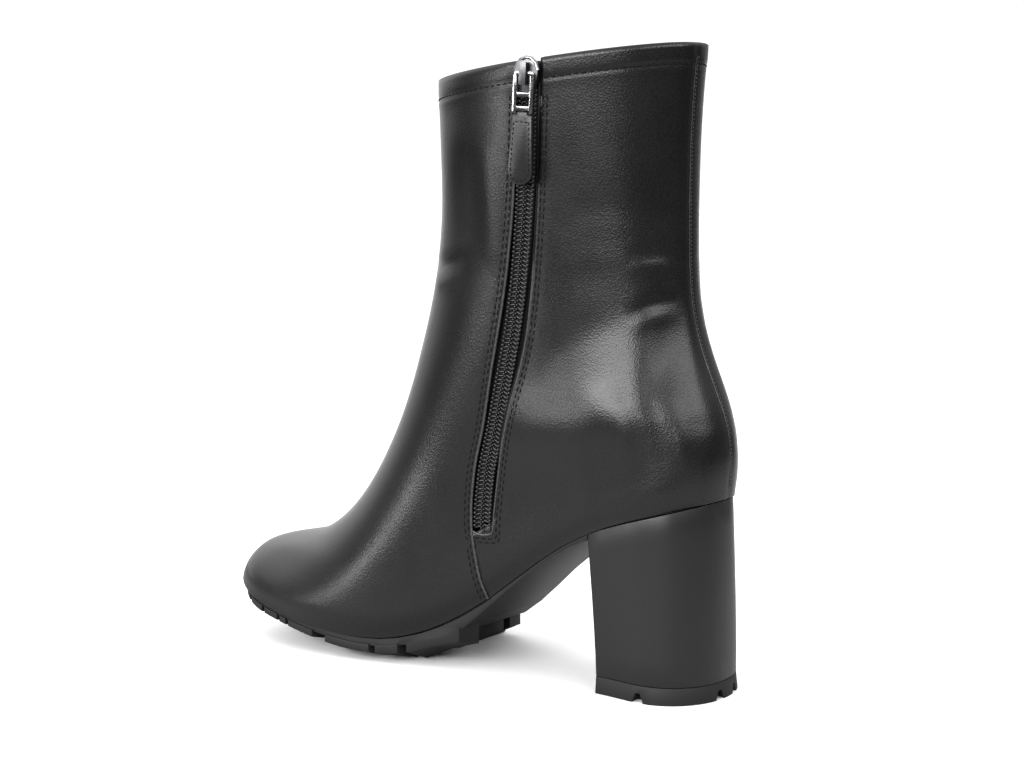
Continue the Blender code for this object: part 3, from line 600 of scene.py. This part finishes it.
def coil_bar(side):
    """One bar of a coil with its turn at the side and its hook at the middle."""
    bar = stretched_ball("bar", COIL_BAR)
    bpy.ops.object.mode_set(mode="EDIT")
    bpy.ops.mesh.select_all(action="SELECT")
    bpy.ops.transform.rotate(value=side * COIL_SLANT, orient_axis="Z", center_override=(0, 0, 0))
    bpy.ops.transform.translate(value=(side * COIL_SIDE * MM, 0, 0))
    for radius, out, up in COIL_ENDS:
        bpy.ops.mesh.select_all(action="DESELECT")
        bpy.ops.mesh.primitive_uv_sphere_add(
            segments=8, ring_count=6, radius=radius * MM,
            location=(side * out * MM, up * MM, COIL_END_LIFT * MM))
    bpy.ops.object.mode_set(mode="OBJECT")
    return bar


coil_places = places_along(chain, COIL_PITCH, -COIL_LIFT)
half_step = [m @ Matrix.Translation((0, COIL_PITCH / 2 * MM, 0)) for m in coil_places]
coils = [
    repeat(coil_bar(1), coil_places, "coil_front"),
    repeat(coil_bar(-1), half_step, "coil_rear"),
]

# %% [markdown]
# Slider, pull frame and tab are small castings and a strip of leather. Their solids have the
# right outlines, and rounded edges make them catch the light as polished metal does. A bent rod
# gives the slider its round crown at the collar.
# %% Slider, pull frame and tab
slider = copy_of("zip_slider", "slider_chrome")
clear_flats(slider)
soften_edges(slider, 0.3, 3, 30)
smooth(slider, 35)

CROWN = ((50.6, 232.4), (50.0, 234.8), (48.4, 236.6), (46.0, 237.3), (43.6, 236.8), (41.8, 235.0),
         (41.0, 232.4))
CROWN_X = -37.6
CROWN_RADIUS = 0.75
crown = cord_of("slider_crown", [(Vector((CROWN_X, py, pz)) * MM, Vector((-1, 0, 0)))
                                 for py, pz in CROWN], CROWN_RADIUS, 0.0)

pull = copy_of("pull_frame", "pull_chrome")
clear_flats(pull)
soften_edges(pull, 0.35, 3, 30)
smooth(pull, 35)

tab = copy_of("pull_tab", "tab_leather")
clear_flats(tab)
soften_edges(tab, 0.55, 3, 30)
smooth(tab, 60)

# %% [markdown]
# The tab's thread runs round its edge in one loop, a little inside the outline, and once across
# below the metal. The hinge's line gives the tab's own directions.
# %% The tab's stitches
TAB_ROW, TAB_END_ROW = 3.1, 3.9
TAB_TOP = -17.2
TAB_BEND = -35.4
TAB_ROUND = 4.0
TAB_STITCH = (0.26, 0.7, 0.22)
TAB_PITCH = 1.9
TAB_LOOK = 20.0
CROSS_DROP = 0.4

hinge = frame["joints"][0]
hinge_at = Vector(hinge["pos_m"])
across = -Vector(hinge["axis"]).normalized()
tab_low, tab_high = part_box("pull_tab")
tab_up = (hinge_at - (tab_low + tab_high) / 2).normalized()
tab_out = across.cross(tab_up).normalized()
tab_up = tab_out.cross(across)
tab_tree = tree_of(tab)


def row_half(v):
    """Half the distance between the two rows: the tab widens towards its end."""
    return float(np.interp(v, (TAB_BEND, TAB_TOP), (TAB_END_ROW, TAB_ROW)))


def on_tab(u, v):
    """Point and normal of the tab's face at a place across and along it."""
    spot = hinge_at + (across * u + tab_up * v) * MM
    point, normal, _, _ = tab_tree.ray_cast(spot + tab_out * TAB_LOOK * MM, -tab_out)
    return None if point is None else (point, normal)


bend = [(TAB_END_ROW * math.cos(a), TAB_BEND - TAB_ROUND * math.sin(a))
        for a in np.linspace(0, math.pi, 16)]
loop = [(row_half(v), v) for v in np.arange(TAB_TOP, TAB_BEND, -1)] + bend
loop += [(-row_half(v), v) for v in np.arange(TAB_BEND, TAB_TOP, 1)]
cross_row = [(u, TAB_TOP - CROSS_DROP) for u in np.linspace(-TAB_ROW, TAB_ROW, 7)]
tab_places = []
for path in (loop, cross_row):
    tab_hits = [h for h in (on_tab(u, v) for u, v in path) if h]
    tab_places += places_along(tab_hits, TAB_PITCH, STITCH_SINK)
tab_thread = repeat(stretched_ball("tab_stitch", TAB_STITCH), tab_places, "tab_stitches")

# %% [markdown]
# The heel is a hard block wrapped in a thin matte sheet, with a rubber lift under it. The sole is
# one moulded rubber unit with a smooth waist and lugs round the ball and the toe.
# %% Heel, lift and sole
heel = copy_of("heel", "heel_wrap")
pair_triangles(heel, 1.5)
soften_edges(heel, 0.35, 2, 35)
smooth(heel, 40)

lift = copy_of("top_lift", "lift_tread")
clear_flats(lift)
soften_edges(lift, 0.3, 2, 35)
smooth(lift, 35)

sole = copy_of("outsole", "sole_unit")
soften_edges(sole, 0.35, 2, 38)
smooth(sole, 40)
print("sole faces:", len(sole.data.polygons))

# %% [markdown]
# Leather's grain is a net of tiny pebbles with a slow change of gloss. It is shared by the upper,
# the tab and the folded edges, so it is a node group. It takes the number of pebbles in a metre
# and a colour, and gives a height, a gloss and a colour with painted shade and painted light in
# it: darker towards each pebble's edge and lighter at its middle.
# %% Shared surface effects
GRAIN_CELLS = 1500.0
GRAIN_DEPTH = 0.08


def new_group(name, inputs, outputs):
    """Node group with number or colour sockets."""
    group = bpy.data.node_groups.new(name, "ShaderNodeTree")
    for in_out, sockets in (("INPUT", inputs), ("OUTPUT", outputs)):
        for socket, value in sockets.items():
            kind = "NodeSocketColor" if isinstance(value, tuple) else "NodeSocketFloat"
            made = group.interface.new_socket(socket, in_out=in_out, socket_type=kind)
            made.default_value = value
    return group, group.nodes.new("NodeGroupInput"), group.nodes.new("NodeGroupOutput")


def add(tree, kind, settings=None, **values):
    """Adds a node, with its settings and its sockets' constants."""
    node = tree.nodes.new(kind)
    for setting, value in (settings or {}).items():
        setattr(node, setting, value)
    for socket, value in values.items():
        node.inputs[socket.replace("_", " ")].default_value = value
    return node


def join(tree, source, target):
    tree.links.new(source, target)


grain_and_shade, grain_in, grain_out = new_group(
    "leather_grain_and_shade", {"Cells": GRAIN_CELLS, "Base": (0.01, 0.01, 0.01, 1)},
    {"Height": 0.0, "Gloss": 0.0, "Color": (0, 0, 0, 1)})
coords = add(grain_and_shade, "ShaderNodeTexCoord")
pebbles = add(grain_and_shade, "ShaderNodeTexVoronoi", {"feature": "SMOOTH_F1"}, Smoothness=0.3)
cloud = add(grain_and_shade, "ShaderNodeTexNoise", None, Scale=45.0, Detail=3.0)
mist = add(grain_and_shade, "ShaderNodeTexNoise", None, Scale=1500.0, Detail=2.0)
height_sum = add(grain_and_shade, "ShaderNodeMath", {"operation": "MULTIPLY_ADD"})
height_sum.inputs[1].default_value = 0.45
gloss_range = add(grain_and_shade, "ShaderNodeMapRange", None,
                  From_Min=0.3, From_Max=0.7, To_Min=0.27, To_Max=0.33)
# painted shade and light of the grain: the colour is scaled from 1.35 at a pebble's middle down to
# 0.45 towards its edge
pebble_shade_range = add(grain_and_shade, "ShaderNodeMapRange", None,
                 From_Min=0.0, From_Max=0.7, To_Min=1.35, To_Max=0.45)
pebble_shaded_base = add(grain_and_shade, "ShaderNodeVectorMath", {"operation": "SCALE"})
for texture in (pebbles, cloud, mist):
    join(grain_and_shade, coords.outputs["Object"], texture.inputs["Vector"])
join(grain_and_shade, grain_in.outputs["Cells"], pebbles.inputs["Scale"])
join(grain_and_shade, mist.outputs["Fac"], height_sum.inputs[0])
join(grain_and_shade, pebbles.outputs["Distance"], height_sum.inputs[2])
join(grain_and_shade, cloud.outputs["Fac"], gloss_range.inputs["Value"])
join(grain_and_shade, pebbles.outputs["Distance"], pebble_shade_range.inputs["Value"])
join(grain_and_shade, grain_in.outputs["Base"], pebble_shaded_base.inputs[0])
join(grain_and_shade, pebble_shade_range.outputs["Result"], pebble_shaded_base.inputs["Scale"])
join(grain_and_shade, height_sum.outputs[0], grain_out.inputs["Height"])
join(grain_and_shade, gloss_range.outputs["Result"], grain_out.inputs["Gloss"])
join(grain_and_shade, pebble_shaded_base.outputs[0], grain_out.inputs["Color"])

# %% [markdown]
# Each finish is one surface shader: glossy grained leather, a matte heel wrap, dull rubber,
# polished metal, nylon, woven tape and thread.
# %% Materials


def finish(name, color, roughness, **values):
    """Surface shader with a colour and a roughness."""
    material = bpy.data.materials.new(name)
    material.use_nodes = True
    shader = material.node_tree.nodes["Principled BSDF"]
    shader.inputs["Base Color"].default_value = (*color, 1)
    shader.inputs["Roughness"].default_value = roughness
    for socket, value in values.items():
        shader.inputs[socket.replace("_", " ")].default_value = value
    return material, material.node_tree, shader


def roughen(tree, shader, height, strength, depth):
    """Feeds a height into the shader's normal."""
    relief = add(tree, "ShaderNodeBump", None, Strength=strength, Distance=depth * MM)
    join(tree, height, relief.inputs["Height"])
    join(tree, relief.outputs["Normal"], shader.inputs["Normal"])


# the leather's base colour carries the grain's painted shade and painted light
def leather(name, color, strength):
    material, tree, shader = finish(name, color, 0.4, Coat_Weight=0.05, Coat_Roughness=0.2)
    skin_grain_and_shade = add(tree, "ShaderNodeGroup")
    skin_grain_and_shade.node_tree = grain_and_shade
    skin_grain_and_shade.inputs["Cells"].default_value = GRAIN_CELLS
    skin_grain_and_shade.inputs["Base"].default_value = (*color, 1)
    roughen(tree, shader, skin_grain_and_shade.outputs["Height"], strength, GRAIN_DEPTH)
    join(tree, skin_grain_and_shade.outputs["Gloss"], shader.inputs["Roughness"])
    join(tree, skin_grain_and_shade.outputs["Color"], shader.inputs["Base Color"])
    return material


def speckled(name, color, roughness, scale, strength, depth, **values):
    """Matte finish with a fine noise in its surface."""
    material, tree, shader = finish(name, color, roughness, **values)
    place = add(tree, "ShaderNodeTexCoord")
    speck = add(tree, "ShaderNodeTexNoise", None, Scale=scale, Detail=3.0)
    join(tree, place.outputs["Object"], speck.inputs["Vector"])
    roughen(tree, shader, speck.outputs["Fac"], strength, depth)
    return material


black_leather = leather("black_leather", (0.0045, 0.0045, 0.0047), 0.6)
tab_skin = leather("tab_skin", (0.01, 0.01, 0.0105), 0.4)
# painted highlight: the folds' leather is about fifteen times lighter than the upper's
painted_highlight_fold = leather("painted_highlight_fold", (0.07, 0.07, 0.071), 0.2)
lining = speckled("lining", (0.03, 0.028, 0.027), 0.85, 900.0, 0.4, 0.1)
board = speckled("insole_board", (0.09, 0.075, 0.062), 0.8, 700.0, 0.3, 0.1)
heel_sheet = speckled("heel_sheet", (0.009, 0.009, 0.0093), 0.36, 1500.0, 0.25, 0.05)
rubber = speckled("sole_rubber", (0.012, 0.012, 0.0125), 0.6, 800.0, 0.3, 0.08,
                  Specular_IOR_Level=0.35)
tape_weave = speckled("tape_weave", (0.006, 0.006, 0.0065), 0.85, 1400.0, 0.6, 0.15)
nylon = finish("coil_nylon", (0.012, 0.012, 0.013), 0.2, IOR=1.6)[0]
thread = speckled("thread", (0.005, 0.005, 0.005), 0.8, 1600.0, 0.3, 0.05, Specular_IOR_Level=0.2)
# painted glints: this thread is ten times lighter than the black thread of the other rows
glint_painted_thread = speckled("glint_painted_thread", (0.05, 0.05, 0.05), 0.5, 1600.0, 0.3, 0.05)
nickel = speckled("nickel", (0.14, 0.14, 0.145), 0.32, 250.0, 0.4, 0.2, Metallic=1.0)
chrome = speckled("chrome", (0.3, 0.3, 0.31), 0.16, 250.0, 0.4, 0.2, Metallic=1.0)

# %% [markdown]
# Now every piece gets its finish, the body that it moves with and the solid that it stands for.
# %% Finishes, bodies and stand-ins


def settle(piece, body, materials, node=None):
    """Gives a piece its materials and its body, and hides the solid that it stands for."""
    for material in materials:
        piece.data.materials.append(material)
    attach(piece, body)
    if node:
        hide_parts(node)


settle(upper, "bootie", (black_leather, lining), "upper")
settle(heel, "bootie", (heel_sheet,), "heel")
settle(lift, "bootie", (rubber,), "top_lift")
settle(sole, "bootie", (rubber,), "outsole")
settle(slider, "bootie", (nickel,), "zip_slider")
settle(crown, "bootie", (chrome,))
for coil in coils:
    settle(coil, "bootie", (nylon,))
# the cords get the lighter leather, a painted highlight along the folded edges
for cord in cords:
    settle(cord, "bootie", (painted_highlight_fold,))
# the back row gets the pale thread, painted glints along the back's bright edge
for row in threads:
    settle(row, "bootie", (glint_painted_thread if row.name == "back_stitches" else thread,))
settle(pull, "zip_pull", (chrome,), "pull_frame")
settle(tab, "zip_pull", (tab_skin,), "pull_tab")
settle(tab_thread, "zip_pull", (thread,))
for node, material, slot in (("zip_tape", tape_weave, "zip_black"), ("insole", board, "insole_board")):
    solid = frame["nodes"][node]
    solid.data.materials.clear()
    solid.data.materials.append(material)

# %% [markdown]
# The photo is a plain product shot: a white floor that runs into a white background, with soft
# lights that show in the leather. A broad one stands to the camera's left, a small low one
# further left, and a long one to its right. Floor and room are dimmer in the leather than the
# camera sees them, and brightest behind the boot, where its edges mirror them.
# %% Floor, background and lights
VIEW = Vector((0.82834, 0.54826, -0.11518))
BEHIND = Vector((0.53, 0.848, 0.0))
FLOOR_HALF = 20.0
FLOOR_SEEN = 1.03
FLOOR_NEAR, FLOOR_FAR, FLOOR_BEHIND = 0.45, 0.05, 0.95
LIT_MIDDLE = Vector((0, 0.05, 0.12))
LIGHT_DISTANCE = 1.4

bpy.ops.mesh.primitive_plane_add(size=2 * FLOOR_HALF)
floor = bpy.context.active_object
floor.name = "floor"


def paper_floor():
    """White paper that mirrors darker in the leather than the camera sees it."""
    paper = bpy.data.materials.new("floor_white")
    paper.use_nodes = True
    tree = paper.node_tree
    tree.nodes.remove(tree.nodes["Principled BSDF"])
    path = add(tree, "ShaderNodeLightPath")
    bright = add(tree, "ShaderNodeBsdfDiffuse", None, Color=(FLOOR_SEEN,) * 3 + (1,))
    dim = add(tree, "ShaderNodeBsdfDiffuse")
    place = add(tree, "ShaderNodeTexCoord")
    aim = add(tree, "ShaderNodeVectorMath", {"operation": "NORMALIZE"})
    turned = add(tree, "ShaderNodeVectorMath", {"operation": "DOT_PRODUCT"})
    turned.inputs[1].default_value = VIEW
    behind = add(tree, "ShaderNodeMapRange", None,
                 From_Min=0.75, From_Max=0.92, To_Min=0.0, To_Max=FLOOR_BEHIND)
    reach = add(tree, "ShaderNodeVectorMath", {"operation": "LENGTH"})
    near = add(tree, "ShaderNodeMapRange", None,
               From_Min=0.2, From_Max=0.9, To_Min=FLOOR_NEAR, To_Max=FLOOR_FAR)
    tone = add(tree, "ShaderNodeMath", {"operation": "MAXIMUM"})
    join(tree, place.outputs["Object"], aim.inputs[0])
    join(tree, place.outputs["Object"], reach.inputs[0])
    join(tree, aim.outputs["Vector"], turned.inputs[0])
    join(tree, turned.outputs["Value"], behind.inputs["Value"])
    join(tree, reach.outputs["Value"], near.inputs["Value"])
    join(tree, behind.outputs["Result"], tone.inputs[0])
    join(tree, near.outputs["Result"], tone.inputs[1])
    join(tree, tone.outputs[0], dim.inputs["Color"])
    seen = add(tree, "ShaderNodeMixShader")
    join(tree, path.outputs["Is Camera Ray"], seen.inputs["Fac"])
    join(tree, dim.outputs[0], seen.inputs[1])
    join(tree, bright.outputs[0], seen.inputs[2])
    join(tree, seen.outputs[0], tree.nodes["Material Output"].inputs["Surface"])
    return paper


floor.data.materials.append(paper_floor())

world = bpy.data.worlds.new("studio")
bpy.context.scene.world = world
world.use_nodes = True
sky = world.node_tree
ray = add(sky, "ShaderNodeTexCoord")
facing = add(sky, "ShaderNodeVectorMath", {"operation": "DOT_PRODUCT"})
facing.inputs[1].default_value = BEHIND
wall = add(sky, "ShaderNodeMapRange", None,
           From_Min=0.6, From_Max=0.85, To_Min=0.0, To_Max=1.2)
ceiling = add(sky, "ShaderNodeMapRange", None,
              From_Min=0.28, From_Max=0.65, To_Min=0.0, To_Max=1.6)
room = add(sky, "ShaderNodeMapRange", None,
           From_Min=-0.5, From_Max=0.6, To_Min=0.06, To_Max=0.42)
overhead = add(sky, "ShaderNodeMapRange", None,
               From_Min=-0.9, From_Max=0.0, To_Min=0.35, To_Max=1.0)
height = add(sky, "ShaderNodeSeparateXYZ")
sides = add(sky, "ShaderNodeMath", {"operation": "MAXIMUM"})
total = add(sky, "ShaderNodeMath", {"operation": "MULTIPLY_ADD"})
path = add(sky, "ShaderNodeLightPath")
backdrop = add(sky, "ShaderNodeMath", {"operation": "MAXIMUM"})
join(sky, ray.outputs["Generated"], facing.inputs[0])
join(sky, ray.outputs["Generated"], height.inputs[0])
for reader in (wall, room, overhead):
    join(sky, facing.outputs["Value"], reader.inputs["Value"])
join(sky, height.outputs["Z"], ceiling.inputs["Value"])
join(sky, wall.outputs["Result"], sides.inputs[0])
join(sky, room.outputs["Result"], sides.inputs[1])
join(sky, ceiling.outputs["Result"], total.inputs[0])
join(sky, overhead.outputs["Result"], total.inputs[1])
join(sky, sides.outputs[0], total.inputs[2])
join(sky, total.outputs[0], backdrop.inputs[0])
join(sky, path.outputs["Is Camera Ray"], backdrop.inputs[1])
join(sky, backdrop.outputs[0], sky.nodes["Background"].inputs["Strength"])
sky.nodes["Background"].inputs["Color"].default_value = (1, 1, 1, 1)


def softbox(name, azimuth, elevation, size, power):
    """Rectangular light that looks at the boot's middle."""
    turn, rise = math.radians(azimuth), math.radians(elevation)
    level = math.cos(rise)
    away = Vector((math.cos(turn) * level, math.sin(turn) * level, math.sin(rise)))
    bpy.ops.object.light_add(type="AREA")
    light = bpy.context.active_object
    light.name = name
    light.data.shape = "RECTANGLE"
    light.data.size, light.data.size_y = size
    light.data.energy = power
    light.location = LIT_MIDDLE + away * LIGHT_DISTANCE
    light.rotation_euler = (-away).to_track_quat("-Z", "Y").to_euler()
    print(name, "at, mm:", [round(v / MM) for v in light.location])


softbox("key_light", 177, 19, (1.6, 0.42), 22)
softbox("fill_light", 141, 2, (0.3, 0.12), 1.9)
softbox("rear_light", 258, 27, (1.8, 0.32), 9)

# %% [markdown]
# The camera stands where the photo's did, behind the inner side and a little below the collar.
# %% Camera
CAMERA_AT = (-0.6505, -0.3534, 0.2019)
LENS, SENSOR = 69.55, 36
bpy.ops.object.camera_add(location=CAMERA_AT)
camera = bpy.context.active_object
camera.rotation_euler = VIEW.to_track_quat("-Z", "Y").to_euler()
camera.data.lens = LENS
camera.data.sensor_width = SENSOR
camera.data.clip_start, camera.data.clip_end = 0.05, 100
bpy.context.scene.camera = camera
bpy.context.scene.view_settings.view_transform = "Standard"
